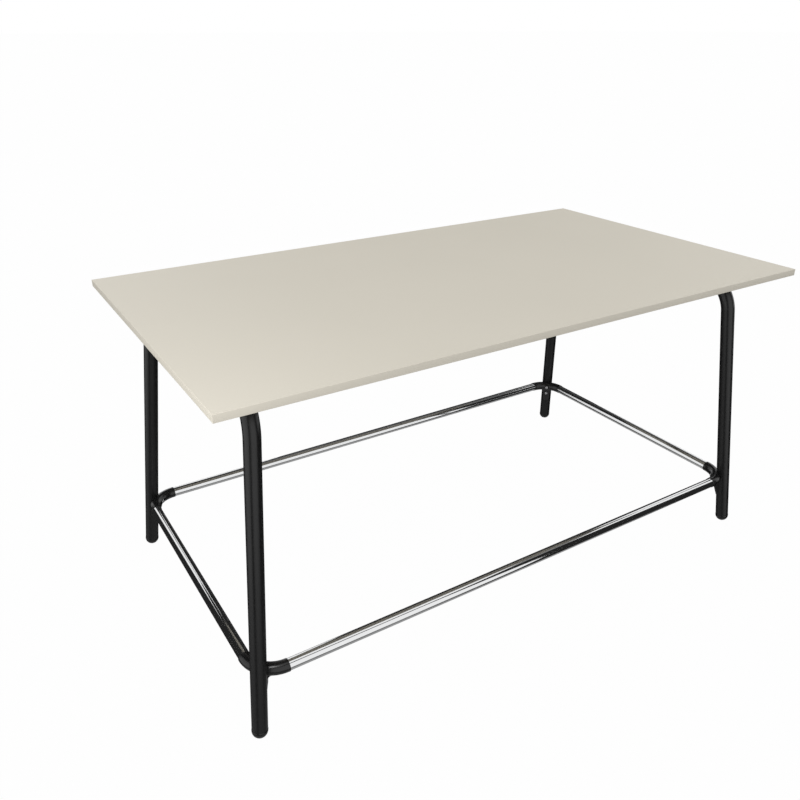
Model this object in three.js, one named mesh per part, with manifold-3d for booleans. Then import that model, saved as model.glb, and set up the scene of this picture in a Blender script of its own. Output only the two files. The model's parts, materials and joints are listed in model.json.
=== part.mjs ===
// Standing meeting table: a thin laminate top on two bent tube leg frames, with a chrome footrest ring.
// Millimetres, +Z up. The origin lies on the floor under the middle of the top, +X runs along the length.
import * as THREE from "three";
import { mergeVertices } from "three/addons/utils/BufferGeometryUtils.js";
import Module from "manifold-3d";

// Table top
const tableHeight = 903;
const topLength = 1800;
const topWidth = 1000;
const coreThickness = 17;
const laminateThickness = 0.8;
const edgeBandThickness = 2;

// Leg frames: one bent tube for each end of the table
const legTubeDiameter = 40;
const legTubeWall = 2;
const legSplayDegrees = 6;
const footInsetAlongLength = 37.1; // end of the top to the middle of a foot
const footInsetAlongWidth = 40;
const frameBendRadius = 110;

// Foot glides
const glideOverhang = 0.5; // how far the dome stands out past the tube
const glideFlatDiameter = 10;
const glideLipHeight = 3;
const glideStemLength = 26;
const glideStemTaper = 3;

// Mounting plates, welded on the cross tube of each leg frame
const plateWidth = 100;
const plateLength = 70;
const plateThickness = 5;
const plateCornerRadius = 10;
const plateSpacing = 400;
const plateScrewSpacing = 74;
const weldDepth = 5;
const weldToe = 3;

// Stiffening rails: folded steel channels that open downwards
const railWidth = 40;
const railHeight = 20;
const railWall = 2;
const railSpacing = 420;
const railEndGap = 20; // from the end of a rail to the mounting plates
const railScrewCount = 3;
const railScrewInset = 60;

// Wood screws of the plates and the rails
const woodScrewDiameter = 5;
const woodScrewLength = 15;
const woodScrewHeadDiameter = 10;
const woodScrewHeadHeight = 3;
const woodScrewPoint = 4;

// Footrest ring
const footrestHeight = 173; // floor to the middle of the tubes
const footrestTubeDiameter = 30;
const footrestTubeWall = 1.5;

// Corner brackets
const elbowBendRadius = 78;
const elbowCollar = 2; // straight end of the elbow beside the tube
const elbowStep = 1.5; // how far the elbow stands out past the tube
const saddleDepth = 11.8; // how deep the leg lies in the back of the elbow
const spigotLength = 36;
const spigotTaper = 3;
const spigotRoot = 6; // length of the spigot inside the elbow
const tongueDrop = 72; // middle of the elbow to the tip of the tongue
const tongueRootWidth = 30;
const tongueTipWidth = 24;
const tongueRootThickness = 14;
const tongueTipThickness = 1.6;
const tongueFillet = 10;
const webThickness = 8; // fillet webs under the elbow, beside the tongue
const webSink = 2; // how far the fillets run into the elbow

// Bracket screws and the rivet nuts that they screw into
const bracketScrewDiameter = 6;
const bracketScrewHeadDiameter = 12;
const bracketScrewHeadHeight = 3.3;
const bracketScrewRim = 1; // straight part of the head, under its dome
const bracketScrewDrop = 35; // upper screw to lower screw
const screwRecess = 2.4;
const rivetNutDiameter = 9;
const rivetNutLength = 13;
const rivetNutBulge = 1.4;
const rivetNutBulgeLength = 3;
const rivetNutTipRoom = 1.5; // last stretch of the nut, past the end of the screw

// Fits and faceting
const fitClearance = 0.3;
const mergeTolerance = 1e-4;
const tubeSides = 20;
const boreSides = 10;
const bendSteps = 6;
const domeSteps = 4;
const roundingSteps = 3; // steps of a plate corner, a fillet or the dome of a screw head
const tipSteps = 6;
const headSides = 10;
const drillSides = 8;

// Worked out from the sizes above
const topThickness = coreThickness + 2 * laminateThickness;
const undersideHeight = tableHeight - topThickness;
const coreLength = topLength - 2 * edgeBandThickness;
const coreWidth = topWidth - 2 * edgeBandThickness;
const legRadius = legTubeDiameter / 2;
const legBoreRadius = legRadius - legTubeWall;
const splaySlope = Math.tan(THREE.MathUtils.degToRad(legSplayDegrees));
const legTilt = Math.atan(splaySlope * Math.SQRT2);
const domeRadius = legRadius + glideOverhang;
const domeHeight = Math.sqrt(domeRadius ** 2 - (glideFlatDiameter / 2) ** 2);
const crossTubeHeight = undersideHeight - plateThickness - fitClearance - legRadius;
const elbowRadius = footrestTubeDiameter / 2 + elbowStep;
const elbowReach = legRadius + elbowRadius - saddleDepth; // leg axis to the middle of the elbow
const saddleRadius = legRadius + fitClearance;

const coatedSteel = new THREE.MeshStandardMaterial({ color: 0x1c1c1d, roughness: 0.5, metalness: 0.1 });
const chrome = new THREE.MeshStandardMaterial({ color: 0xd9dadb, roughness: 0.08, metalness: 1 });
const blackPlastic = new THREE.MeshStandardMaterial({ color: 0x161617, roughness: 0.42, metalness: 0 });
const laminate = new THREE.MeshStandardMaterial({ color: 0xd8d4c8, roughness: 0.55, metalness: 0 });
const backing = new THREE.MeshStandardMaterial({ color: 0xb9b5aa, roughness: 0.7, metalness: 0 });
const chipboard = new THREE.MeshStandardMaterial({ color: 0xb08d62, roughness: 0.85, metalness: 0 });
const zincSteel = new THREE.MeshStandardMaterial({ color: 0xb4b6b8, roughness: 0.35, metalness: 1 });

const wasm = await Module();
wasm.setup();

const table = new THREE.Group();

function addPiece(name, geometry, material, parent = table) {
  const piece = new THREE.Mesh(geometry, material);
  piece.name = name;
  parent.add(piece);
  return piece;
}

// A closed geometry as a solid that can be joined and cut, and back again
function toSolid(geometry) {
  const bare = geometry.clone();
  bare.deleteAttribute("normal");
  bare.deleteAttribute("uv");
  const merged = mergeVertices(bare, mergeTolerance);
  const vertProperties = merged.attributes.position.array;
  const triVerts = new Uint32Array(merged.index.array);
  return new wasm.Manifold(new wasm.Mesh({ numProp: 3, vertProperties, triVerts }));
}

function toGeometry(solid) {
  const mesh = solid.getMesh();
  const geometry = new THREE.BufferGeometry();
  geometry.setAttribute("position", new THREE.BufferAttribute(mesh.vertProperties, 3));
  geometry.setIndex(new THREE.BufferAttribute(mesh.triVerts, 1));
  geometry.computeVertexNormals();
  return geometry;
}

function cutAll(solid, cutters) {
  return cutters.reduce((left, cutter) => left.subtract(cutter), solid);
}

function circlePoints(radius, sides) {
  const points = [];
  for (let i = 0; i < sides; i++) {
    const angle = (2 * Math.PI * i) / sides;
    points.push(new THREE.Vector2(radius * Math.cos(angle), radius * Math.sin(angle)));
  }
  return points;
}

function tubeSection(outerRadius, innerRadius) {
  const section = new THREE.Shape(circlePoints(outerRadius, tubeSides));
  section.holes.push(new THREE.Path(circlePoints(innerRadius, boreSides)));
  return section;
}

// A body turned about Z from a profile of [radius, height] pairs, lowest first
function turned(profile, sides) {
  const points = profile.map(([radius, height]) => new THREE.Vector2(radius, height));
  return new THREE.LatheGeometry(points, sides).rotateX(Math.PI / 2);
}

// A round bar along Z from one height to another
function bar(radius, from, to, sides) {
  const geometry = new THREE.CylinderGeometry(radius, radius, to - from, sides);
  return geometry.rotateX(Math.PI / 2).translate(0, 0, (from + to) / 2);
}

// Straight runs joined by round bends, with a station at each end of a run and at each step of a bend
class TubeRoute extends THREE.Curve {
  constructor(corners, bendRadius) {
    super();
    this.stations = [];
    const last = corners.length - 1;
    const heading = (i) => corners[i + 1].clone().sub(corners[i]).normalize();
    this.stations.push({ point: corners[0], direction: heading(0) });
    for (let i = 1; i < last; i++) this.addBend(corners[i], heading(i - 1), heading(i), bendRadius);
    this.stations.push({ point: corners[last], direction: heading(last - 1) });
  }

  addBend(corner, incoming, outgoing, radius) {
    const turn = incoming.angleTo(outgoing);
    const axis = incoming.clone().cross(outgoing).normalize();
    const start = corner.clone().addScaledVector(incoming, -radius * Math.tan(turn / 2));
    const centre = start.clone().addScaledVector(axis.clone().cross(incoming), radius);
    for (let step = 0; step <= bendSteps; step++) {
      const angle = (turn * step) / bendSteps;
      const point = start.clone().sub(centre).applyAxisAngle(axis, angle).add(centre);
      this.stations.push({ point, direction: incoming.clone().applyAxisAngle(axis, angle) });
    }
  }

  get runs() {
    return this.stations.length - 1;
  }

  getUtoTmapping(u) {
    return u;
  }

  station(t) {
    return this.stations[Math.round(t * this.runs)];
  }

  getPoint(t, target = new THREE.Vector3()) {
    return target.copy(this.station(t).point);
  }

  getTangent(t, target = new THREE.Vector3()) {
    return target.copy(this.station(t).direction);
  }
}

function sweep(section, route) {
  return new THREE.ExtrudeGeometry(section, { steps: route.runs, extrudePath: route });
}

// The four corners of the table and the leg axis at each of them
const corners = [
  { name: "front_left", x: -1, y: -1 },
  { name: "front_right", x: 1, y: -1 },
  { name: "back_left", x: -1, y: 1 },
  { name: "back_right", x: 1, y: 1 },
];

function legX(height) {
  return topLength / 2 - footInsetAlongLength - (height - domeHeight) * splaySlope;
}

function legY(height) {
  return topWidth / 2 - footInsetAlongWidth - (height - domeHeight) * splaySlope;
}

function legPoint(corner, height) {
  return new THREE.Vector3(corner.x * legX(height), corner.y * legY(height), height);
}

// A frame on the leg axis: its +Z runs up the leg, its +X points to the inside of the table
function onLeg(corner, height) {
  const place = new THREE.Group();
  place.position.copy(legPoint(corner, height));
  place.rotation.set(0, legTilt, Math.atan2(-corner.y, -corner.x), "ZYX");
  place.updateMatrix();
  return place;
}

// Turns a body made along Z so that it points along +X
function alongX(geometry) {
  return geometry.rotateY(Math.PI / 2);
}

// Screw places under the top, each with the height of the face that its head lies on
const plates = [];
for (const end of [{ name: "left", x: -1 }, { name: "right", x: 1 }]) {
  for (const side of [{ name: "front", y: -1 }, { name: "back", y: 1 }]) {
    const x = end.x * legX(crossTubeHeight);
    plates.push({ name: `${end.name}_${side.name}`, x, y: (side.y * plateSpacing) / 2 });
  }
}

const railLength = 2 * (legX(crossTubeHeight) - plateWidth / 2 - railEndGap);
const rails = [{ name: "front", y: -railSpacing / 2 }, { name: "back", y: railSpacing / 2 }];

const woodScrews = [];
for (const plate of plates) {
  for (const [place, x] of [["inner", -1], ["outer", 1]]) {
    const offset = (Math.sign(plate.x) * x * plateScrewSpacing) / 2;
    const seat = undersideHeight - plateThickness;
    woodScrews.push({ name: `plate_screw_${plate.name}_${place}`, x: plate.x + offset, y: plate.y, seat });
  }
}
const railScrewPitch = (railLength - 2 * railScrewInset) / (railScrewCount - 1);
const railScrewX = (i) => -railLength / 2 + railScrewInset + i * railScrewPitch;
for (const rail of rails) {
  for (let i = 0; i < railScrewCount; i++) {
    const seat = undersideHeight - railWall;
    woodScrews.push({ name: `rail_screw_${rail.name}_${i + 1}`, x: railScrewX(i), y: rail.y, seat });
  }
}

// Table top: chipboard core between two laminate sheets, edged on all four sides after pressing
const pilotRadius = woodScrewDiameter / 2 + fitClearance;
const pilotHoles = woodScrews.map(({ x, y, seat }) => {
  const tip = seat + woodScrewLength + fitClearance;
  return toSolid(bar(pilotRadius, undersideHeight - laminateThickness, tip, drillSides).translate(x, y, 0));
});

function sheet(thickness, bottom) {
  const geometry = new THREE.BoxGeometry(coreLength, coreWidth, thickness);
  return geometry.translate(0, 0, bottom + thickness / 2);
}

const coreBottom = undersideHeight + laminateThickness;
const drilledCore = cutAll(toSolid(sheet(coreThickness, coreBottom)), pilotHoles);
const drilledBacking = cutAll(toSolid(sheet(laminateThickness, undersideHeight)), pilotHoles);
addPiece("core_board", toGeometry(drilledCore), chipboard);
addPiece("underside_laminate", toGeometry(drilledBacking), backing);
addPiece("top_laminate", sheet(laminateThickness, tableHeight - laminateThickness), laminate);

const bandMiddle = tableHeight - topThickness / 2;
for (const [name, y] of [["front", -1], ["back", 1]]) {
  const strip = new THREE.BoxGeometry(topLength, edgeBandThickness, topThickness);
  const band = addPiece(`edge_band_${name}`, strip, laminate);
  band.position.set(0, (y * (topWidth - edgeBandThickness)) / 2, bandMiddle);
}
for (const [name, x] of [["left", -1], ["right", 1]]) {
  const strip = new THREE.BoxGeometry(edgeBandThickness, coreWidth, topThickness);
  const band = addPiece(`edge_band_${name}`, strip, laminate);
  band.position.set((x * (topLength - edgeBandThickness)) / 2, 0, bandMiddle);
}

// Corner brackets are set out in the frame of the leg, with level directions for the footrest ring
const level = new THREE.Vector3(Math.cos(legTilt), 0, Math.sin(legTilt));
const across = new THREE.Vector3(0, 1, 0);

function levelPoint(inward, sideways) {
  return level.clone().multiplyScalar(inward).addScaledVector(across, sideways);
}

const elbowCornerInward = elbowReach - (Math.SQRT2 - 1) * elbowBendRadius;
const elbowEnd = elbowBendRadius + elbowCollar; // sharp corner of the ring to the end of the elbow
const elbowMiddle = levelPoint(elbowReach, 0);
const elbowUnderside = elbowMiddle.z - elbowRadius;
const upperScrewHeight = elbowMiddle.z;
const lowerScrewHeight = upperScrewHeight - bracketScrewDrop;

const tongueSlope = (tongueRootThickness - tongueTipThickness) / (elbowUnderside + tongueDrop);

function tongueRadius(height) {
  return legRadius + tongueTipThickness + (height + tongueDrop) * tongueSlope;
}

const bracketScrews = [
  { name: "upper", height: upperScrewHeight, face: elbowMiddle.x + elbowRadius },
  { name: "lower", height: lowerScrewHeight, face: tongueRadius(lowerScrewHeight) },
];
for (const screw of bracketScrews) screw.seat = screw.face - screwRecess;

// Leg frames: leg, bend, cross tube, bend, leg in one tube, drilled for the rivet nuts
const legStart = domeHeight + (glideLipHeight + fitClearance) * Math.cos(legTilt);
const nutHoleRadius = rivetNutDiameter / 2 + fitClearance;

function nutHoles(corner) {
  const place = onLeg(corner, footrestHeight);
  return bracketScrews.map(({ height }) => {
    const drill = alongX(bar(nutHoleRadius, 0, 2 * legRadius, drillSides)).translate(0, 0, height);
    return toSolid(drill.applyMatrix4(place.matrix));
  });
}

for (const [name, x] of [["left", -1], ["right", 1]]) {
  const [front, back] = corners.filter((corner) => corner.x === x);
  const bends = [
    legPoint(front, legStart),
    legPoint(front, crossTubeHeight),
    legPoint(back, crossTubeHeight),
    legPoint(back, legStart),
  ];
  const route = new TubeRoute(bends, frameBendRadius);
  const bentTube = toSolid(sweep(tubeSection(legRadius, legBoreRadius), route));
  const drilled = cutAll(bentTube, [...nutHoles(front), ...nutHoles(back)]);
  addPiece(`leg_frame_${name}`, toGeometry(drilled), coatedSteel);
}

// Foot glides: a dome cut flat where it meets the floor, with a stem in the end of the leg
function glideProfile() {
  const profile = [];
  for (let i = 0; i <= domeSteps; i++) {
    const angle = (Math.PI / 2) * (i / domeSteps);
    profile.push([domeRadius * Math.sin(angle), -domeRadius * Math.cos(angle)]);
  }
  const stemRadius = legBoreRadius * Math.cos(Math.PI / boreSides) - fitClearance;
  const stemTop = glideLipHeight + glideStemLength;
  profile.push([domeRadius, glideLipHeight]);
  profile.push([stemRadius, glideLipHeight]);
  profile.push([stemRadius, stemTop - glideStemTaper]);
  profile.push([stemRadius - glideStemTaper / 2, stemTop]);
  profile.push([0, stemTop]);
  return profile;
}

for (const corner of corners) {
  const place = onLeg(corner, domeHeight);
  const floorSize = 4 * domeRadius;
  const floor = new THREE.BoxGeometry(floorSize, floorSize, floorSize);
  floor.translate(place.position.x, place.position.y, -floorSize / 2);
  floor.applyMatrix4(place.matrix.clone().invert());
  const glide = toSolid(turned(glideProfile(), tubeSides)).subtract(toSolid(floor));
  addPiece(`foot_glide_${corner.name}`, toGeometry(glide), blackPlastic, place);
  table.add(place);
}

// Mounting plates: a drilled plate with a weld bead on each side of the cross tube
function plateSolid() {
  const x = plateWidth / 2;
  const y = plateLength / 2;
  const r = plateCornerRadius;
  const outline = new THREE.Shape();
  outline.moveTo(x, y - r);
  outline.absarc(x - r, y - r, r, 0, Math.PI / 2);
  outline.absarc(-x + r, y - r, r, Math.PI / 2, Math.PI);
  outline.absarc(-x + r, -y + r, r, Math.PI, 1.5 * Math.PI);
  outline.absarc(x - r, -y + r, r, 1.5 * Math.PI, 2 * Math.PI);
  for (const side of [-1, 1]) {
    const hole = circlePoints(pilotRadius, drillSides);
    hole.forEach((point) => point.setX(point.x + (side * plateScrewSpacing) / 2));
    outline.holes.push(new THREE.Path(hole));
  }
  const blank = { depth: plateThickness, bevelEnabled: false, curveSegments: roundingSteps };
  let solid = toSolid(new THREE.ExtrudeGeometry(outline, blank));

  // The bead fills the wedge between plate and tube, as deep as weldDepth below the plate
  const beadX = Math.sqrt(legRadius ** 2 - (legRadius - weldDepth) ** 2);
  const rootX = beadX - weldDepth;
  const embed = plateThickness / 2;
  for (const side of [-1, 1]) {
    const bead = new THREE.Shape();
    bead.moveTo(side * rootX, embed);
    bead.lineTo(side * (beadX + weldToe), embed);
    bead.lineTo(side * (beadX + weldToe), 0);
    bead.lineTo(side * beadX, -weldDepth);
    bead.lineTo(side * rootX, -weldDepth);
    const run = plateLength - 2 * plateCornerRadius;
    const strip = new THREE.ExtrudeGeometry(bead, { depth: run, bevelEnabled: false });
    solid = solid.add(toSolid(strip.rotateX(Math.PI / 2).translate(0, run / 2, 0)));
  }
  const tube = new THREE.CylinderGeometry(saddleRadius, saddleRadius, 2 * plateLength, tubeSides);
  return solid.subtract(toSolid(tube.translate(0, 0, -fitClearance - legRadius)));
}

const plateGeometry = toGeometry(plateSolid());
for (const plate of plates) {
  const piece = addPiece(`mounting_plate_${plate.name}`, plateGeometry, coatedSteel);
  piece.position.set(plate.x, plate.y, undersideHeight - plateThickness);
}

// Stiffening rails: a channel with its web against the top, drilled for its screws
function railGeometry() {
  const half = railWidth / 2;
  const section = new THREE.Shape();
  section.moveTo(-half, 0);
  section.lineTo(-half, -railHeight);
  section.lineTo(-half + railWall, -railHeight);
  section.lineTo(-half + railWall, -railWall);
  section.lineTo(half - railWall, -railWall);
  section.lineTo(half - railWall, -railHeight);
  section.lineTo(half, -railHeight);
  section.lineTo(half, 0);
  const channel = new THREE.ExtrudeGeometry(section, { depth: railLength, bevelEnabled: false });
  channel.rotateX(Math.PI / 2).rotateZ(Math.PI / 2).translate(-railLength / 2, 0, 0);
  const holes = [];
  for (let i = 0; i < railScrewCount; i++) {
    const drill = bar(pilotRadius, -2 * railWall, railWall, drillSides);
    holes.push(toSolid(drill.translate(railScrewX(i), 0, 0)));
  }
  return toGeometry(cutAll(toSolid(channel), holes));
}

const channelGeometry = railGeometry();
for (const rail of rails) {
  const piece = addPiece(`stiffening_rail_${rail.name}`, channelGeometry, coatedSteel);
  piece.position.set(0, rail.y, undersideHeight);
}

// Wood screws: low round heads under the plates and rails
const woodScrewHeadRadius = woodScrewHeadDiameter / 2;
const woodScrewProfile = [
  [0, -woodScrewHeadHeight],
  [woodScrewHeadRadius - woodScrewHeadHeight / 2, -woodScrewHeadHeight],
  [woodScrewHeadRadius, -woodScrewHeadHeight / 2],
  [woodScrewHeadRadius, 0],
  [woodScrewDiameter / 2, 0],
  [woodScrewDiameter / 2, woodScrewLength - woodScrewPoint],
  [0, woodScrewLength],
];
const woodScrewGeometry = turned(woodScrewProfile, drillSides);
for (const { name, x, y, seat } of woodScrews) {
  addPiece(name, woodScrewGeometry, zincSteel).position.set(x, y, seat);
}

// Footrest tubes: straight chrome tubes between the ends of the elbows
const ringHalfLength = legX(footrestHeight) - elbowCornerInward / Math.SQRT2;
const ringHalfWidth = legY(footrestHeight) - elbowCornerInward / Math.SQRT2;

function straightTube(length) {
  const section = tubeSection(footrestTubeDiameter / 2, footrestTubeDiameter / 2 - footrestTubeWall);
  const tube = new THREE.ExtrudeGeometry(section, { depth: length, bevelEnabled: false });
  return tube.translate(0, 0, -length / 2);
}

const longTubeLength = 2 * (ringHalfLength - elbowEnd - fitClearance);
const shortTubeLength = 2 * (ringHalfWidth - elbowEnd - fitClearance);
for (const [name, y] of [["front", -1], ["back", 1]]) {
  const tube = addPiece(`footrest_tube_${name}`, alongX(straightTube(longTubeLength)), chrome);
  tube.position.set(0, y * ringHalfWidth, footrestHeight);
}
for (const [name, x] of [["left", -1], ["right", 1]]) {
  const alongY = straightTube(shortTubeLength).rotateX(Math.PI / 2);
  const tube = addPiece(`footrest_tube_${name}`, alongY, chrome);
  tube.position.set(x * ringHalfLength, 0, footrestHeight);
}

// Corner bracket, main body: an elbow swept round the corner, with a spigot for each tube
function elbowSolid() {
  const reach = elbowEnd / Math.SQRT2;
  const corner = levelPoint(elbowCornerInward, 0);
  const ends = [-1, 1].map((side) => levelPoint(elbowCornerInward + reach, side * reach));
  const route = new TubeRoute([ends[0], corner, ends[1]], elbowBendRadius);
  const section = new THREE.Shape(circlePoints(elbowRadius, tubeSides));
  const boreRadius = footrestTubeDiameter / 2 - footrestTubeWall;
  const spigotRadius = boreRadius * Math.cos(Math.PI / boreSides) - fitClearance;
  const profile = [
    [0, -spigotRoot],
    [spigotRadius, -spigotRoot],
    [spigotRadius, spigotLength - spigotTaper],
    [spigotRadius - spigotTaper / 2, spigotLength],
    [0, spigotLength],
  ];
  let solid = toSolid(sweep(section, route));
  for (const end of ends) {
    const away = end.clone().sub(corner).normalize();
    const turn = new THREE.Quaternion().setFromUnitVectors(new THREE.Vector3(0, 0, 1), away);
    const spigot = turned(profile, boreSides).applyQuaternion(turn).translate(end.x, end.y, end.z);
    solid = solid.add(toSolid(spigot));
  }
  return solid;
}

// Corner bracket, tongue: a wedge wrapped round the leg, trimmed to a tapering outline with a round tip
const tongueHalf = tongueRootWidth / 2;
const tongueBack = Math.sqrt(Math.max(saddleRadius ** 2 - tongueHalf ** 2, 0));

function trimmed(body, outline, curveSegments) {
  const depth = 2 * (elbowReach + elbowRadius);
  const block = new THREE.ExtrudeGeometry(outline, { depth, bevelEnabled: false, curveSegments });
  block.rotateX(Math.PI / 2).rotateZ(Math.PI / 2).translate(tongueBack, 0, 0);
  return body.intersect(toSolid(block));
}

function tongueSolid() {
  const wedge = turned(
    [
      [0, -tongueDrop],
      [tongueRadius(-tongueDrop), -tongueDrop],
      [tongueRadius(elbowUnderside), elbowUnderside],
      [tongueRadius(elbowUnderside), elbowMiddle.z],
      [0, elbowMiddle.z],
    ],
    tubeSides,
  );
  const tip = tongueTipWidth / 2;
  const outline = new THREE.Shape();
  outline.moveTo(-tongueHalf, elbowMiddle.z);
  outline.lineTo(-tongueHalf, elbowUnderside);
  outline.absarc(0, -tongueDrop + tip, tip, Math.PI, 2 * Math.PI);
  outline.lineTo(tongueHalf, elbowUnderside);
  outline.lineTo(tongueHalf, elbowMiddle.z);
  return trimmed(toSolid(wedge), outline, tipSteps);
}

// Corner bracket, webs: they follow the elbow's curve and run into the sides of the tongue in round fillets
function webSolid() {
  const bendAxis = elbowReach + elbowBendRadius;
  const edge = Math.sqrt(tongueRadius(elbowUnderside) ** 2 - tongueHalf ** 2);
  const inner = Math.hypot(bendAxis - edge, tongueHalf);
  const outer = inner + webThickness;
  const wide = tongueHalf + tongueFillet;
  const half = Math.asin(wide / inner);
  const band = new THREE.Shape();
  band.absarc(0, 0, outer, Math.PI - half, Math.PI + half);
  band.absarc(0, 0, inner, Math.PI + half, Math.PI - half, true);
  const depth = 2 * (elbowRadius + tongueFillet);
  const slab = new THREE.ExtrudeGeometry(band, { depth, bevelEnabled: false, curveSegments: tipSteps });
  slab.translate(bendAxis - edge, 0, -depth / 2).rotateY(Math.atan(tongueSlope));
  slab.translate(edge, 0, elbowUnderside);

  const arcHeight = elbowUnderside + webSink - tongueFillet;
  const outline = new THREE.Shape();
  outline.moveTo(wide, elbowMiddle.z);
  outline.lineTo(-wide, elbowMiddle.z);
  outline.absarc(-wide, arcHeight, tongueFillet, Math.PI / 2, 0, true);
  outline.absarc(wide, arcHeight, tongueFillet, Math.PI, Math.PI / 2, true);
  return trimmed(toSolid(slab), outline, roundingSteps);
}

function bracketSolid() {
  const leg = bar(saddleRadius, -2 * tongueDrop, 2 * tongueDrop, tubeSides);
  const cutters = [toSolid(leg)];
  const headRoom = bracketScrewHeadDiameter / 2 + fitClearance;
  for (const { height, face, seat } of bracketScrews) {
    const shankHole = bar(bracketScrewDiameter / 2 + fitClearance, 0, face, drillSides);
    const recess = bar(headRoom, seat, face + elbowRadius, headSides);
    cutters.push(toSolid(alongX(shankHole).translate(0, 0, height)));
    cutters.push(toSolid(alongX(recess).translate(0, 0, height)));
  }
  return cutAll(elbowSolid().add(tongueSolid()).add(webSolid()), cutters);
}

// Bracket screws have a domed head, and rivet nuts a bulge behind the wall of the leg
const bracketScrewTip = legRadius - rivetNutLength + rivetNutTipRoom;

function bracketScrewGeometry(seat) {
  const head = bracketScrewHeadDiameter / 2;
  const shank = bracketScrewDiameter / 2;
  const rim = seat + bracketScrewRim;
  const rise = bracketScrewHeadHeight - bracketScrewRim;
  const profile = [
    [0, bracketScrewTip],
    [shank, bracketScrewTip],
    [shank, seat],
    [head, seat],
  ];
  for (let i = 0; i < roundingSteps; i++) {
    const angle = (Math.PI / 2) * (i / roundingSteps);
    profile.push([head * Math.cos(angle), rim + rise * Math.sin(angle)]);
  }
  profile.push([0, rim + rise]);
  return alongX(turned(profile, headSides));
}

function rivetNutGeometry() {
  const bore = bracketScrewDiameter / 2 + fitClearance;
  const body = rivetNutDiameter / 2;
  const bulge = body + rivetNutBulge;
  const front = Math.sqrt(legRadius ** 2 - body ** 2);
  const back = legRadius - rivetNutLength;
  const bulgeFront = Math.sqrt(legBoreRadius ** 2 - bulge ** 2) - 2 * fitClearance;
  const profile = [
    [bore, back],
    [body, back],
    [body, bulgeFront - rivetNutBulgeLength],
    [bulge, bulgeFront - rivetNutBulgeLength / 2],
    [body, bulgeFront],
    [body, front],
    [bore, front],
    [bore, back],
  ];
  return alongX(turned(profile, drillSides));
}

const bracketGeometry = toGeometry(bracketSolid());
const nutGeometry = rivetNutGeometry();
for (const corner of corners) {
  const place = onLeg(corner, footrestHeight);
  addPiece(`corner_bracket_${corner.name}`, bracketGeometry, blackPlastic, place);
  for (const { name, height, seat } of bracketScrews) {
    const screwGeometry = bracketScrewGeometry(seat);
    const screw = addPiece(`bracket_screw_${corner.name}_${name}`, screwGeometry, zincSteel, place);
    const nut = addPiece(`rivet_nut_${corner.name}_${name}`, nutGeometry, zincSteel, place);
    screw.position.z = height;
    nut.position.z = height;
  }
  table.add(place);
}

export default table;
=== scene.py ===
# Standing meeting table dressed for the camera: a laminate top on two black bent tube frames,
# with a ring of chrome footrest tubes round the legs.
import json
import math

import bpy
from mathutils import Matrix, Vector


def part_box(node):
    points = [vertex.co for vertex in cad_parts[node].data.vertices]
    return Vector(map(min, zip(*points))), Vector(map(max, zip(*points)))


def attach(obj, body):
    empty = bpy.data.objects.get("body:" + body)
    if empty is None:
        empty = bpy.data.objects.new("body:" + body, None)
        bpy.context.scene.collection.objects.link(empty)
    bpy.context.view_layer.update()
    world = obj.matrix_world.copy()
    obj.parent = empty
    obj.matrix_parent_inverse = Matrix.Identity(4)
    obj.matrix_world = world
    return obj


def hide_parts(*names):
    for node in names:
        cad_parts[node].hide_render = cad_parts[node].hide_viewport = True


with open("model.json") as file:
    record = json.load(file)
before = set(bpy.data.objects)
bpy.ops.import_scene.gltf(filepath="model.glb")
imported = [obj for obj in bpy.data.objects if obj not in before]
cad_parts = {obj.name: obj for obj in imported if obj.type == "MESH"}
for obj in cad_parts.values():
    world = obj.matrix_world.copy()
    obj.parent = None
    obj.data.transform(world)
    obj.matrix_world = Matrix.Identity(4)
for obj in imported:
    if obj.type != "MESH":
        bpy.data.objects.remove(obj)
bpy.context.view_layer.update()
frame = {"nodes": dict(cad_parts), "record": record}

scene = bpy.context.scene
scene.view_settings.view_transform = "Standard"
bpy.ops.object.select_all(action="DESELECT")

# Camera: it stands before the front left corner of the table, well above the top, and looks down
# across it. The lens is a mild wide angle, so the near corner comes out large.
camera_place = (-1.2776, -1.7653, 1.5545)
camera_down = 0.4532
camera_right = 0.5583
sensor_width = 36
lens_length = 34.602
bpy.ops.object.camera_add(location=camera_place, rotation=(math.pi / 2 - camera_down, 0, -camera_right))
camera = bpy.context.object
camera.data.sensor_width = sensor_width
camera.data.lens = lens_length
scene.camera = camera


# Studio: a pale floor in white surroundings that light the table evenly, and two soft lamps at its left.
# What shines mirrors that white, broken as in a light tent by dark cloths round, above and below the
# table, and lifted by two bright cards.
class Socket:
    """An output of a shader node, or a bare tree. Sums add Math nodes, and node() adds any other node."""

    def __init__(self, tree, output=None):
        self.tree = tree
        self.output = output

    def node(self, kind, settings=None, inputs=None, output=0):
        made = self.tree.nodes.new("ShaderNode" + kind)
        for name, value in (settings or {}).items():
            setattr(made, name, value)
        for name, value in (inputs or {}).items():
            if isinstance(value, Socket):
                self.tree.links.new(value.output, made.inputs[name])
            else:
                made.inputs[name].default_value = value
        return Socket(self.tree, made.outputs[output])

    def math(self, operation, first, second):
        return self.node("Math", {"operation": operation}, {0: first, 1: second})

    def __add__(self, other):
        return self.math("ADD", self, other)

    def __sub__(self, other):
        return self.math("SUBTRACT", self, other)

    def __mul__(self, other):
        return self.math("MULTIPLY", self, other)

    def __rsub__(self, other):
        return self.math("SUBTRACT", other, self)

    __radd__ = __add__
    __rmul__ = __mul__


def drive(node, **values):
    """Links worked-out values to inputs of a node that is there already."""
    for name, value in values.items():
        node.id_data.links.new(value.output, node.inputs[name.replace("_", " ")])


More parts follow.
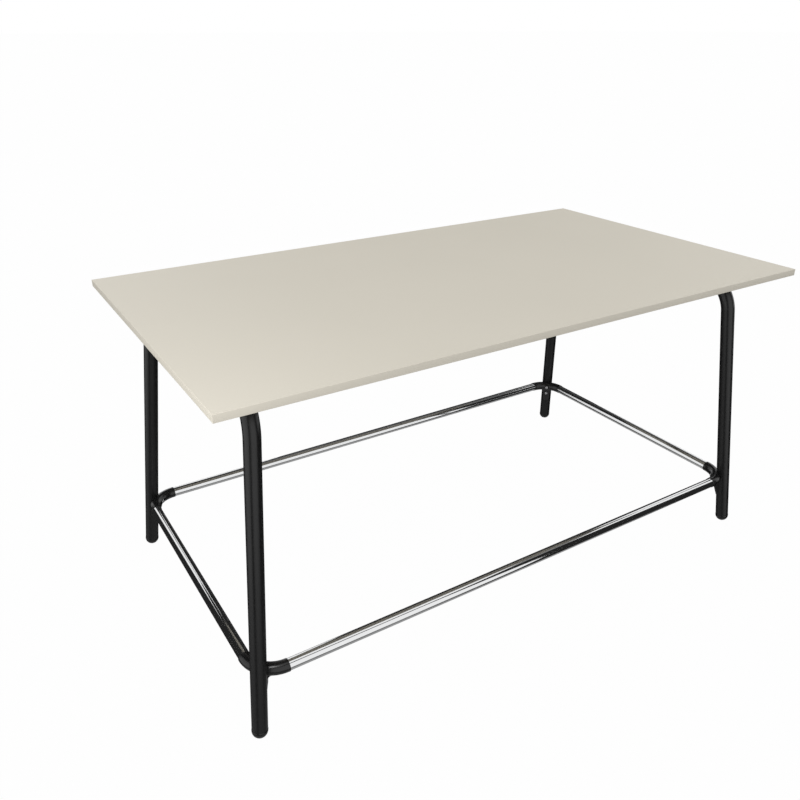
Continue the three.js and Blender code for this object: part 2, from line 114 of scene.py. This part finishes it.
surround_colour = (1, 1, 1, 1)
surround_light = 0.88
world = bpy.data.worlds.new("studio")
world.use_nodes = True
scene.world = world
background = world.node_tree.nodes["Background"]
background.inputs["Color"].default_value = surround_colour
tree = Socket(world.node_tree)
seen = tree.node("LightPath", output="Is Camera Ray")
mirrored = tree.node("LightPath", output="Is Glossy Ray")
looked_through = tree.node("LightPath", output="Is Transmission Ray")
shown = tree.math("MAXIMUM", seen, tree.math("MAXIMUM", mirrored, looked_through))
drive(background, Strength=shown + (1 - shown) * surround_light)


def bare_finish(piece, name):
    """A new material on a piece of the stage, with nothing in it yet but its output."""
    material = bpy.data.materials.new(name)
    material.use_nodes = True
    piece.data.materials.append(material)
    nodes = material.node_tree.nodes
    nodes.remove(nodes["Principled BSDF"])
    return Socket(material.node_tree), nodes["Material Output"]


floor_size = 400
floor_colour = (0.5, 0.5, 0.5, 1)
floor_white = 0.985  # share of plain white that the camera sees; the rest carries the shadow
bpy.ops.mesh.primitive_plane_add(size=floor_size)
floor = bpy.context.object
floor.name = "studio_floor"
floor.visible_glossy = False  # what shines looks through it, at the cloths below
tree, output = bare_finish(floor, "pale_floor")
seen = tree.node("LightPath", output="Is Camera Ray")
looked_through = tree.node("LightPath", output="Is Transmission Ray")
shown = tree.math("MAXIMUM", seen, looked_through)
lit = tree.node("BsdfDiffuse", None, {"Color": floor_colour})
white = tree.node("Emission")
drive(output, Surface=tree.node("MixShader", None, {0: shown * floor_white, 1: lit, 2: white}))


def flag(name, brightness, place, facing, width, depth):
    """A dark cloth or a bright card, far off, that only shows where something mirrors it."""
    bpy.ops.mesh.primitive_plane_add(size=1, location=place, rotation=facing)
    cloth = bpy.context.object
    cloth.name = name
    cloth.scale = (width, depth, 1)
    cloth.visible_camera = cloth.visible_diffuse = cloth.visible_shadow = False
    tree, output = bare_finish(cloth, name)
    drive(output, Surface=tree.node("Emission", None, {"Strength": brightness}))


flag_distance = 40
dark = 0.02
# Azimuth from +Y towards +X, half width, lowest and highest elevation in degrees, and brightness.
upright_flags = {
    "corner_back_left": (-36, 12, -45, 41, dark),
    "corner_back_right": (35.5, 17.5, -45, 41, dark),
    "corner_front_right": (132.5, 13.5, -45, 50, dark),
    "corner_front_left": (-132, 12, -37, 41, dark),
    "low_back": (0, 26, -45, -8, dark),
    "low_right": (84, 38, -45, -10, dark),
    "seam_front": (180, 42, 47.5, 60, 0.08),
    "seam_right": (90, 40, 51, 57.5, 0.2),
    "back_light": (3, 6, 6, 18, 3.2),
}
for name, (azimuth, half_width, lowest, highest, brightness) in upright_flags.items():
    turn = math.radians(azimuth)
    low, high = [flag_distance * math.tan(math.radians(rise)) for rise in (lowest, highest)]
    place = (flag_distance * math.sin(turn), flag_distance * math.cos(turn), (low + high) / 2)
    width = 2 * flag_distance * math.tan(math.radians(half_width))
    flag(name, brightness, place, (math.pi / 2, 0, -turn), width, high - low)

# Least and greatest X, least and greatest Y, height and brightness.
flat_flags = {
    "overhead": (-45, 12, -3, 47.5, 40, dark),
    "overhead_right": (12, 36, -3, 46, 40, 0.11),
    "key": (-17, -6, -19, -8, 39, 9.5),
    "below": (-36, 36, -36, 36, -40, 0.35),
    "far_below": (-88, 88, -88, 88, -41, 0.18),
}
for name, (x_low, x_high, y_low, y_high, height, brightness) in flat_flags.items():
    place = ((x_low + x_high) / 2, (y_low + y_high) / 2, height)
    flag(name, brightness, place, (0, 0, 0), x_high - x_low, y_high - y_low)

# Place, aim, size and power.
lamps = {
    "corner_lamp": (Vector((-1.5, -0.88, 1.27)), Vector((-0.9, -0.5, 0.9)), 0.35, 3.2),
    "left_lamp": (Vector((-3.4, -0.3, 0.75)), Vector((-0.9, -0.1, 0.85)), 1.6, 8),
}
for name, (place, aim, size, power) in lamps.items():
    bpy.ops.object.light_add(type="AREA", location=place)
    lamp = bpy.context.object
    lamp.name = name
    lamp.rotation_euler = (aim - place).to_track_quat("-Z", "Y").to_euler()
    lamp.data.size = size
    lamp.data.energy = power
    lamp.visible_glossy = False


# Table top: a laminate sheet on a chipboard core, edged with a plastic band in the same warm greige.
# The bands are glued on after pressing and their arrises are rounded by hand.
def finish(name, colour, roughness, metallic=0.0):
    """A material with its even values set, and the Object coordinates that its detail is drawn on."""
    material = bpy.data.materials.new(name)
    material.use_nodes = True
    shader = material.node_tree.nodes["Principled BSDF"]
    shader.inputs["Base Color"].default_value = (*colour, 1)
    shader.inputs["Roughness"].default_value = roughness
    shader.inputs["Metallic"].default_value = metallic
    return material, shader, Socket(material.node_tree).node("TexCoord", output="Object")


def noise(place, scale, detail=2.0):
    """A cloudy pattern from 0 to 1, with about as many clouds to the metre as its scale."""
    return place.node("TexNoise", None, {"Vector": place, "Scale": scale, "Detail": detail}, "Fac")


def tint(place, share, first, second):
    """A colour between two, by a share from 0 to 1."""
    # A Mix node takes its two colours in sockets 6 and 7, and gives the mixed one from output 2.
    mix = {"Factor": share, 6: (*first, 1), 7: (*second, 1)}
    return place.node("Mix", {"data_type": "RGBA"}, mix, 2)


def bump(place, height, strength, distance):
    """A normal that is tilted by a relief of this height."""
    relief = {"Height": height, "Strength": strength, "Distance": distance}
    return place.node("Bump", None, relief)


greige = (0.71, 0.671, 0.581)
greige_dark = (0.695, 0.657, 0.568)
greige_light = (0.726, 0.685, 0.594)
laminate_gloss = 0.1
greige_laminate, shader, place = finish("greige_laminate", greige, roughness=0.5)
shader.inputs["Specular IOR Level"].default_value = laminate_gloss
cloudy = noise(place, scale=2.5, detail=3.0)
pearl = noise(place, scale=900)
drive(
    shader,
    Base_Color=tint(place, 0.7 * cloudy + 0.3 * pearl, greige_dark, greige_light),
    Roughness=0.46 + 0.06 * cloudy + 0.05 * pearl,
    Normal=bump(place, pearl, strength=0.06, distance=0.0003),
)

touch = 1e-5  # what lies nearer than this counts as touching
smooth_angle = math.radians(35)


def board(name, low, high):
    """A square-edged board between two opposite corners."""
    bpy.ops.object.select_all(action="DESELECT")
    bpy.ops.mesh.primitive_cube_add(size=1, location=(low + high) / 2, scale=high - low)
    piece = bpy.context.object
    piece.name = name
    bpy.ops.object.transform_apply(location=True, rotation=True, scale=True)
    return piece


def pick(kind, test):
    """Selects the edges or faces in hand whose middle passes a test, and stays in edit mode."""
    mesh = bpy.context.object.data
    bpy.ops.object.mode_set(mode="EDIT")
    bpy.ops.mesh.select_mode(type=kind)
    bpy.ops.mesh.select_all(action="DESELECT")
    bpy.ops.object.mode_set(mode="OBJECT")
    for item in mesh.edges if kind == "EDGE" else mesh.polygons:
        middle = sum((mesh.vertices[i].co for i in item.vertices), Vector()) / len(item.vertices)
        item.select = test(middle)
    bpy.ops.object.mode_set(mode="EDIT")


def round_off(radius, segments):
    """Rounds the selected edges and goes back to object mode, with smooth shading over the rounding."""
    bpy.ops.mesh.bevel(offset=radius, segments=segments, affect="EDGES", clamp_overlap=True)
    bpy.ops.object.mode_set(mode="OBJECT")
    bpy.ops.object.shade_smooth_by_angle(angle=smooth_angle)


def paint(piece, material):
    """Gives a piece its finish all over."""
    piece.data.materials.clear()
    piece.data.materials.append(material)


def fit(piece, node, material):
    """Puts a piece in the place of a CAD node, with its finish."""
    paint(piece, material)
    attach(piece, "root")
    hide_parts(node)


sheet_arris = 0.0002
low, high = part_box("top_laminate")
sheet = board("laminate_sheet", low, high)
pick("EDGE", lambda middle: middle.z > high.z - touch)
round_off(sheet_arris, segments=1)
fit(sheet, "top_laminate", greige_laminate)

band_arris = 0.0009
long_sides = ("front", "back")
short_sides = ("left", "right")
for side in long_sides + short_sides:
    low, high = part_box("edge_band_" + side)
    band = board("edging_" + side, low, high)
    across = 1 if side in long_sides else 0
    outside = high[across] if high[across] > -low[across] else low[across]
    pick("EDGE", lambda middle: abs(middle[across] - outside) < touch)
    round_off(band_arris, segments=3)
    fit(band, "edge_band_" + side, greige_laminate)

backing = (0.5, 0.47, 0.4)
backing_dark = (0.46, 0.43, 0.365)
backing_light = (0.53, 0.5, 0.43)
backing_sheet, shader, place = finish("backing_sheet", backing, roughness=0.62)
grain = noise(place, scale=600)
drive(
    shader,
    Base_Color=tint(place, noise(place, scale=4, detail=3.0), backing_dark, backing_light),
    Normal=bump(place, grain, strength=0.1, distance=0.0003),
)
paint(frame["nodes"]["underside_laminate"], backing_sheet)

chip_brown = (0.42, 0.28, 0.15)
chip_dark = (0.3, 0.18, 0.09)
chip_light = (0.55, 0.39, 0.22)
flakes_to_metre = 350.0
chipboard, shader, place = finish("chipboard", chip_brown, roughness=0.85)
flakes = place.node("TexVoronoi", None, {"Vector": place, "Scale": flakes_to_metre}, "Color")
flake = place.node("SeparateColor", None, {0: flakes})
drive(shader, Base_Color=tint(place, flake, chip_dark, chip_light))
paint(frame["nodes"]["core_board"], chipboard)

# Leg frames: one length of round steel tube for each end, bent to an upturned U and coated black.
# The legs splay outwards both ways, and the cross tube carries the top on the plates welded to it.
black = (0.007, 0.007, 0.0072)
black_dark = (0.006, 0.006, 0.0062)
black_light = (0.0085, 0.0085, 0.0088)
black_coat, shader, place = finish("black_coat", black, roughness=0.3)
peel = noise(place, scale=750)
dust = noise(place, scale=9, detail=4.0)
drive(
    shader,
    Base_Color=tint(place, dust, black_dark, black_light),
    Roughness=0.28 + 0.06 * dust,
    Normal=bump(place, peel, strength=0.12, distance=0.0002),
)

corners = {"front_left": (-1, -1), "front_right": (1, -1), "back_left": (-1, 1), "back_right": (1, 1)}
feet = {}
for mount in frame["record"]["mounts"]:
    if mount["name"].startswith("foot_"):
        feet[mount["name"].removeprefix("foot_")] = Vector(mount["pos_m"])
leg_radius = 0.02
leg_wall = 0.002
leg_splay = math.tan(math.radians(6))
leg_tilt = math.atan(leg_splay * math.sqrt(2))
leg_bend_radius = 0.11
leg_bend_steps = 24
plate_thickness = 0.005
seat_gap = 0.0003
dome_radius = 0.0205
floor_flat_radius = 0.005
dome_height = math.sqrt(dome_radius**2 - floor_flat_radius**2)
glide_lip = 0.003
leg_foot = dome_height + (glide_lip + seat_gap) * math.cos(leg_tilt)
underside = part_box("underside_laminate")[0].z
cross_height = underside - plate_thickness - seat_gap - leg_radius
tube_sides = 64


def leg_point(corner, height):
    """The middle of a leg at a height above the floor."""
    x, y = corners[corner]
    lean = (height - dome_height) * leg_splay
    return feet[corner] + Vector((-x * lean, -y * lean, height))


def draw_out(step):
    """Extrudes the selected edges by a step."""
    bpy.ops.mesh.extrude_region_move(TRANSFORM_OT_translate={"value": step})


def bent_tube(name, radius, route, bend_radius=0, bend_steps=0):
    """A ring drawn along straight runs and round bends, as a tube bender feeds it. Its ends are open."""
    bpy.ops.object.select_all(action="DESELECT")
    start = (route[1] - route[0]).to_track_quat("Z", "Y").to_euler()
    bpy.ops.mesh.primitive_circle_add(vertices=tube_sides, radius=radius, location=route[0], rotation=start)
    piece = bpy.context.object
    piece.name = name
    bpy.ops.object.transform_apply(location=True, rotation=True, scale=True)
    bpy.ops.object.mode_set(mode="EDIT")
    bpy.ops.mesh.select_all(action="SELECT")
    reached = route[0]
    for before, corner, after in zip(route, route[1:], route[2:]):
        incoming = (corner - before).normalized()
        outgoing = (after - corner).normalized()
        turn = incoming.angle(outgoing)
        axis = incoming.cross(outgoing).normalized()
        setback = bend_radius * math.tan(turn / 2)
        bend = corner - setback * incoming
        draw_out(bend - reached)
        centre = bend + bend_radius * axis.cross(incoming)
        bpy.ops.mesh.spin(steps=bend_steps, angle=-turn, center=centre, axis=axis)
        reached = corner + setback * outgoing
    draw_out(route[-1] - reached)
    bpy.ops.mesh.select_all(action="SELECT")
    bpy.ops.mesh.remove_doubles(threshold=touch)
    bpy.ops.mesh.normals_make_consistent(inside=False)
    bpy.ops.object.mode_set(mode="OBJECT")
    return piece


def give_wall(piece, wall):
    """Thickens an open shell inwards and shades it smooth."""
    thickness = piece.modifiers.new("wall", "SOLIDIFY")
    thickness.thickness = wall
    thickness.offset = -1
    bpy.ops.object.modifier_apply(modifier="wall")
    bpy.ops.object.shade_smooth_by_angle(angle=smooth_angle)


for end in short_sides:
    front, back = "front_" + end, "back_" + end
    route = [leg_point(front, leg_foot), leg_point(front, cross_height)]
    route += [leg_point(back, cross_height), leg_point(back, leg_foot)]
    tube = bent_tube("bent_leg_tube_" + end, leg_radius, route, leg_bend_radius, leg_bend_steps)
    give_wall(tube, leg_wall)
    fit(tube, "leg_frame_" + end, black_coat)

# Foot glides: domed black plastic plugs with a stem that is pressed into the end of a leg.
# A lip as wide as the dome covers the cut end of the tube, and the dome has a small flat to stand on.
black_moulding, shader, place = finish("black_moulding", black, roughness=0.24)
spark = noise(place, scale=1600)
drive(
    shader,
    Base_Color=tint(place, noise(place, scale=25, detail=3.0), black_dark, black_light),
    Roughness=0.21 + 0.06 * spark,
    Normal=bump(place, spark, strength=0.1, distance=0.0002),
)

glide_stem_radius = leg_radius - leg_wall - seat_gap
glide_stem = 0.022
lip_arris = 0.0006
rim_radius = 0.95 * dome_radius
dome_rings = 32


def turn_to(corner, height):
    """The frame of a leg at a height: +Z runs up the leg and +X points to the inside of the table."""
    x, y = corners[corner]
    turn = Matrix.Rotation(math.atan2(-y, -x), 4, "Z") @ Matrix.Rotation(leg_tilt, 4, "Y")
    return Matrix.Translation(leg_point(corner, height)) @ turn


def move_to(piece, place):
    """Moves the piece in hand from the origin to its place, and puts the place into its mesh."""
    piece.matrix_world = place
    bpy.ops.object.transform_apply(location=True, rotation=True, scale=True)


def copy_to(model, name, place):
    """Copies a piece that was modelled at the origin, with its own mesh, to its place."""
    bpy.ops.object.select_all(action="DESELECT")
    model.select_set(True)
    bpy.context.view_layer.objects.active = model
    bpy.ops.object.duplicate(linked=False)
    piece = bpy.context.object
    piece.name = name
    move_to(piece, place)
    return piece


def on_rim(middle):
    """Whether an edge lies on the outer rim of the lip."""
    return abs(middle.z - glide_lip) < touch and middle.xy.length > rim_radius


bpy.ops.object.select_all(action="DESELECT")
bpy.ops.mesh.primitive_uv_sphere_add(segments=tube_sides, ring_count=dome_rings, radius=dome_radius)
glide = bpy.context.object
bpy.ops.object.mode_set(mode="EDIT")
bpy.ops.mesh.select_all(action="SELECT")
bpy.ops.mesh.bisect(plane_co=(0, 0, 0), plane_no=(0, 0, 1), clear_outer=True)
bpy.ops.object.mode_set(mode="OBJECT")
pick("EDGE", lambda middle: middle.z > -touch)
draw_out((0, 0, glide_lip))
draw_out((0, 0, 0))
narrow = glide_stem_radius / dome_radius
bpy.ops.transform.resize(value=(narrow, narrow, 1), center_override=(0, 0, 0))
draw_out((0, 0, glide_stem))
bpy.ops.mesh.edge_face_add()
bpy.ops.object.mode_set(mode="OBJECT")
pick("EDGE", on_rim)
round_off(lip_arris, segments=2)
floor_cut = {"plane_co": (0, 0, 0), "plane_no": (0, 0, 1), "clear_inner": True, "use_fill": True}
for corner in corners:
    piece = copy_to(glide, "domed_glide_" + corner, turn_to(corner, dome_height))
    bpy.ops.object.mode_set(mode="EDIT")
    bpy.ops.mesh.select_all(action="SELECT")
    bpy.ops.mesh.bisect(**floor_cut, threshold=touch)
    bpy.ops.object.mode_set(mode="OBJECT")
    bpy.ops.object.shade_smooth_by_angle(angle=smooth_angle)
    fit(piece, "foot_glide_" + corner, black_moulding)
bpy.data.objects.remove(glide)

# Mounting plates: drilled steel plates welded on the cross tubes before coating, four in all.
# They carry the top, and their shape in the frame is right, so they only get their finish.
for node in [n for n in frame["nodes"] if n.startswith("mounting_plate_")]:
    paint(frame["nodes"][node], black_coat)

# Stiffening rails: folded steel channels under the top that keep the thin board from sagging.
# They are bent from strip, so their long edges are round, and they are coated like the legs.
rail_wall = 0.002
rail_fold = 0.003
rail_fold_steps = 4
for side in long_sides:
    low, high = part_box("stiffening_rail_" + side)
    rail = board("folded_rail_" + side, low, high)
    pick("FACE", lambda middle: middle.z < low.z + touch or abs(abs(middle.x) - high.x) < touch)
    bpy.ops.mesh.delete(type="FACE")
    bpy.ops.object.mode_set(mode="OBJECT")
    pick("EDGE", lambda middle: middle.z > high.z - touch and abs(middle.x) < touch)
    bpy.ops.mesh.bevel(offset=rail_fold, segments=rail_fold_steps, affect="EDGES")
    bpy.ops.object.mode_set(mode="OBJECT")
    give_wall(rail, rail_wall)
    fit(rail, "stiffening_rail_" + side, black_coat)

# Wood screws: zinc-plated screws with low round heads and a cross recess, under the plates and rails.
# Only their heads show, from below.
zinc = (0.66, 0.66, 0.67)
zinc_dark = (0.6, 0.6, 0.61)
zinc_light = (0.72, 0.72, 0.73)
zinc_steel, shader, place = finish("zinc_steel", zinc, roughness=0.32, metallic=1.0)
cloud = noise(place, scale=300, detail=3.0)
drive(shader, Base_Color=tint(place, cloud, zinc_dark, zinc_light), Roughness=0.26 + 0.14 * cloud)

wood_head_radius = 0.005
wood_head_height = 0.003
wood_shank_radius = 0.0025
wood_shank = 0.015
head_sides = 48
shank_sides = 24
head_rounding = 0.75  # share of a head's height that its rounded edge takes
head_rounding_steps = 5
recess_width = 0.0011
recess_reach = 0.0026
recess_depth = 0.0016


def combine(piece, tool, operation):
    """Joins a second body to a piece, or cuts the piece with it, and throws the second body away."""
    bpy.ops.object.select_all(action="DESELECT")
    bpy.context.view_layer.objects.active = piece
    piece.select_set(True)
    boolean = piece.modifiers.new("combine", "BOOLEAN")
    boolean.operation = operation
    boolean.object = tool
    bpy.ops.object.modifier_apply(modifier="combine")
    bpy.data.objects.remove(tool)


def round_bar(radius, start, end, sides):
    """A round bar along Z between two heights."""
    bpy.ops.object.select_all(action="DESELECT")
    size = {"vertices": sides, "radius": radius, "depth": end - start}
    bpy.ops.mesh.primitive_cylinder_add(**size, location=(0, 0, (start + end) / 2))
    bpy.ops.object.transform_apply(location=True, rotation=True, scale=True)
    return bpy.context.object


def screw_model(head_radius, head_height, shank_radius, shank_length):
    """A screw standing on its shank, with the seat of its head at the origin and a domed head above it."""
    screw = round_bar(head_radius, 0, head_height, head_sides)
    pick("EDGE", lambda middle: middle.z > head_height - touch)
    round_off(head_rounding * head_height, head_rounding_steps)
    shank = round_bar(shank_radius, -shank_length, head_height / 2, shank_sides)
    combine(screw, shank, "UNION")
    return screw


wood_screw = screw_model(wood_head_radius, wood_head_height, wood_shank_radius, wood_shank)
recess_bottom = Vector((0, 0, wood_head_height - recess_depth))
past_head = Vector((0, 0, 2 * wood_head_height))
half_width = recess_width / 2
for half_slot in (Vector((recess_reach, half_width, 0)), Vector((half_width, recess_reach, 0))):
    combine(wood_screw, board("recess", recess_bottom - half_slot, past_head + half_slot), "DIFFERENCE")
bpy.ops.object.shade_smooth_by_angle(angle=smooth_angle)
for node in [n for n in frame["nodes"] if n.startswith(("plate_screw_", "rail_screw_"))]:
    low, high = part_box(node)
    seat = Vector(((low.x + high.x) / 2, (low.y + high.y) / 2, low.z + wood_head_height))
    upside_down = Matrix.Translation(seat) @ Matrix.Rotation(math.pi, 4, "X")
    piece = copy_to(wood_screw, "wood_screw_" + node.replace("_screw", ""), upside_down)
    fit(piece, node, zinc_steel)
bpy.data.objects.remove(wood_screw)

# Footrest tubes: two long and two short chrome-plated steel tubes, cut square.
# Their ends slide over the spigots of the corner brackets.
chrome = (0.82, 0.825, 0.83)
chrome_dark = (0.79, 0.795, 0.8)
chrome_light = (0.84, 0.845, 0.85)
chrome_tube, shader, place = finish("chrome_tube", chrome, roughness=0.05, metallic=1.0)
wiped = noise(place, scale=14, detail=3.0)
drive(shader, Base_Color=tint(place, wiped, chrome_dark, chrome_light), Roughness=0.035 + 0.04 * wiped)

footrest_radius = 0.015
footrest_wall = 0.0015
for side in long_sides + short_sides:
    low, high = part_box("footrest_tube_" + side)
    middle = (low + high) / 2
    half = high - middle
    along = Vector((half.x, 0, 0)) if side in long_sides else Vector((0, half.y, 0))
    tube = bent_tube("chrome_tube_" + side, footrest_radius, [middle - along, middle + along])
    give_wall(tube, footrest_wall)
    fit(tube, "footrest_tube_" + side, chrome_tube)

# Corner brackets: black mouldings that join two footrest tubes and hold them to a leg.
# A round elbow has a hollow for the leg in its back, and a tongue with filleted sides runs down the leg.
footrest_height = 0.173
elbow_radius = 0.0165
elbow_bend_radius = 0.078
elbow_bend_steps = 32
elbow_collar = 0.002
saddle_depth = 0.0118
elbow_reach = leg_radius + elbow_radius - saddle_depth
elbow_end = elbow_bend_radius + elbow_collar
tongue_drop = 0.072
tongue_root_width = 0.03
tongue_tip_width = 0.024
tongue_root_thickness = 0.014
tongue_tip_thickness = 0.0016
tongue_tip_rounding = 0.47 * tongue_tip_width
tongue_tip_steps = 10
tongue_fillet = 0.016
web_thickness = 0.012
web_sink = 0.002
web_reach = 0.06
root_blend = 0.018
root_passes = 24
moulding_passes = 6
smooth_share = 0.5
screw_drop = 0.035
screw_recess = 0.0024
screw_head_radius = 0.006
moulding_grain = 0.0008
sliver = 0.00005
moulding_smooth_angle = math.radians(40)
saddle_sides = 96
web_sides = 128
cutter_reach = 0.1  # past the bracket on any side

level = Vector((math.cos(leg_tilt), 0, math.sin(leg_tilt)))
elbow_middle = elbow_reach * level
elbow_underside = elbow_middle.z - elbow_radius
tongue_half = tongue_root_width / 2
tongue_slope = (tongue_root_thickness - tongue_tip_thickness) / (elbow_underside + tongue_drop)
lay_flat = Matrix.Rotation(math.pi / 2, 4, "Y")


def tongue_radius(height):
    """Distance of the tongue's face from the middle of the leg."""
    return leg_radius + tongue_tip_thickness + (height + tongue_drop) * tongue_slope


def close_ends():
    """Fills the open ends of the piece in hand."""
    bpy.ops.object.mode_set(mode="EDIT")
    bpy.ops.mesh.select_all(action="SELECT")
    bpy.ops.mesh.fill_holes(sides=0)
    bpy.ops.mesh.normals_make_consistent(inside=False)
    bpy.ops.object.mode_set(mode="OBJECT")


def by_root(place):
    """Whether a place on the bracket is by the inside corner between the elbow and the tongue."""
    return abs(place.z - elbow_underside) < root_blend and abs(place.y) < tongue_half + root_blend


inward = elbow_reach - (math.sqrt(2) - 1) * elbow_bend_radius
reach = elbow_end / math.sqrt(2)
sharp_corner = inward * level
ends = [(inward + reach) * level + Vector((0, side * reach, 0)) for side in (-1, 1)]
elbow_route = [ends[0], sharp_corner, ends[1]]
bracket = bent_tube("bracket", elbow_radius, elbow_route, elbow_bend_radius, elbow_bend_steps)
close_ends()

bpy.ops.object.select_all(action="DESELECT")
wedge_height = elbow_middle.z + tongue_drop
bpy.ops.mesh.primitive_cone_add(
    vertices=saddle_sides,
    radius1=tongue_radius(-tongue_drop),
    radius2=tongue_radius(elbow_middle.z),
    depth=wedge_height,
    location=(0, 0, elbow_middle.z - wedge_height / 2),
)
tongue = bpy.context.object
bpy.ops.object.transform_apply(location=True, rotation=True, scale=True)
outline_low = Vector((0, -tongue_half, -tongue_drop))
outline_high = Vector((cutter_reach, tongue_half, elbow_middle.z))
outline = board("outline", outline_low, outline_high)
pick("FACE", lambda middle: middle.z < -tongue_drop + touch)
bpy.ops.transform.resize(value=(1, tongue_tip_width / tongue_root_width, 1), center_override=(0, 0, 0))
bpy.ops.object.mode_set(mode="OBJECT")
pick("EDGE", lambda middle: middle.z < -tongue_drop + touch and abs(middle.y) > touch)
round_off(tongue_tip_rounding, tongue_tip_steps)
combine(tongue, outline, "INTERSECT")

# The webs that fillet the tongue's sides into the elbow are cut from a ring that follows its bend.
bend_axis = elbow_reach + elbow_bend_radius
edge = math.sqrt(tongue_radius(elbow_underside) ** 2 - tongue_half**2)
web_inner = math.hypot(bend_axis - edge, tongue_half)
arc_height = elbow_underside + web_sink - tongue_fillet
side_slope = (tongue_root_width - tongue_tip_width) / 2 / (elbow_middle.z + tongue_drop)
web_half = tongue_half - (elbow_middle.z - arc_height) * side_slope + tongue_fillet
slab = elbow_radius + tongue_fillet
web = round_bar(web_inner + web_thickness, -slab, slab, web_sides)
combine(web, round_bar(web_inner, -2 * slab, 2 * slab, web_sides), "DIFFERENCE")
tip_back = Matrix.Rotation(math.atan(tongue_slope), 4, "Y")
from_edge = Matrix.Translation((bend_axis - edge, 0, 0))
move_to(web, Matrix.Translation((edge, 0, elbow_underside)) @ tip_back @ from_edge)
outline_low = Vector((0, -web_half, arc_height))
outline_high = Vector((web_reach, web_half, elbow_middle.z))
outline = board("outline", outline_low, outline_high)
for side in (-1, 1):
    hollow = round_bar(tongue_fillet, -cutter_reach, cutter_reach, tube_sides)
    move_to(hollow, Matrix.Translation((0, side * web_half, arc_height)) @ lay_flat)
    combine(outline, hollow, "DIFFERENCE")
combine(web, outline, "INTERSECT")

# All three are melted into one moulding, and then the leg's hollow and the screw pockets are cut.
combine(bracket, tongue, "UNION")
combine(bracket, web, "UNION")
bracket.data.remesh_voxel_size = moulding_grain
bpy.ops.object.voxel_remesh()
pick("FACE", by_root)
bpy.ops.mesh.vertices_smooth(factor=smooth_share, repeat=root_passes)
bpy.ops.object.mode_set(mode="OBJECT")
soft = bracket.modifiers.new("soft", "SMOOTH")
soft.factor = smooth_share
soft.iterations = moulding_passes
bpy.ops.object.modifier_apply(modifier="soft")
leg_cutter = round_bar(leg_radius + seat_gap, -2 * cutter_reach, 2 * cutter_reach, saddle_sides)
combine(bracket, leg_cutter, "DIFFERENCE")
screw_faces = {
    "upper": (elbow_middle.z, elbow_middle.x + elbow_radius),
    "lower": (elbow_middle.z - screw_drop, tongue_radius(elbow_middle.z - screw_drop)),
}
for height, face in screw_faces.values():
    pocket = round_bar(screw_head_radius + 2 * seat_gap, face - screw_recess, cutter_reach, head_sides)
    move_to(pocket, Matrix.Translation((0, 0, height)) @ lay_flat)
    combine(bracket, pocket, "DIFFERENCE")
pick("FACE", lambda middle: True)
bpy.ops.mesh.remove_doubles(threshold=sliver)
bpy.ops.mesh.quads_convert_to_tris(quad_method="BEAUTY", ngon_method="BEAUTY")
bpy.ops.mesh.dissolve_degenerate(threshold=sliver)
bpy.ops.object.mode_set(mode="OBJECT")
bpy.ops.object.shade_smooth_by_angle(angle=moulding_smooth_angle)
for corner in corners:
    piece = copy_to(bracket, "moulded_bracket_" + corner, turn_to(corner, footrest_height))
    fit(piece, "corner_bracket_" + corner, black_moulding)
bpy.data.objects.remove(bracket)

# Bracket screws: machine screws with a domed head and a hexagon socket, sunk in a pocket of the bracket.
# Each screws into a rivet nut in the wall of the leg.
screw_head_height = 0.0033
screw_shank_radius = 0.003
screw_shank = 0.012
socket_radius = 0.0024
socket_depth = 0.0018
bracket_screw = screw_model(screw_head_radius, screw_head_height, screw_shank_radius, screw_shank)
hexagon = round_bar(socket_radius, screw_head_height - socket_depth, 2 * screw_head_height, sides=6)
combine(bracket_screw, hexagon, "DIFFERENCE")
bpy.ops.object.shade_smooth_by_angle(angle=smooth_angle)
for corner in corners:
    for name, (height, face) in screw_faces.items():
        seat = Matrix.Translation((face - screw_recess, 0, height)) @ lay_flat
        place = turn_to(corner, footrest_height) @ seat
        piece = copy_to(bracket_screw, "socket_screw_" + corner + "_" + name, place)
        fit(piece, "bracket_screw_" + corner + "_" + name, zinc_steel)
bpy.data.objects.remove(bracket_screw)

# Rivet nuts: threaded steel sleeves set in the walls of the legs, hidden behind the brackets.
# They keep the shape of the frame and take the finish of the screws.
for node in [n for n in frame["nodes"] if n.startswith("rivet_nut_")]:
    paint(frame["nodes"][node], zinc_steel)
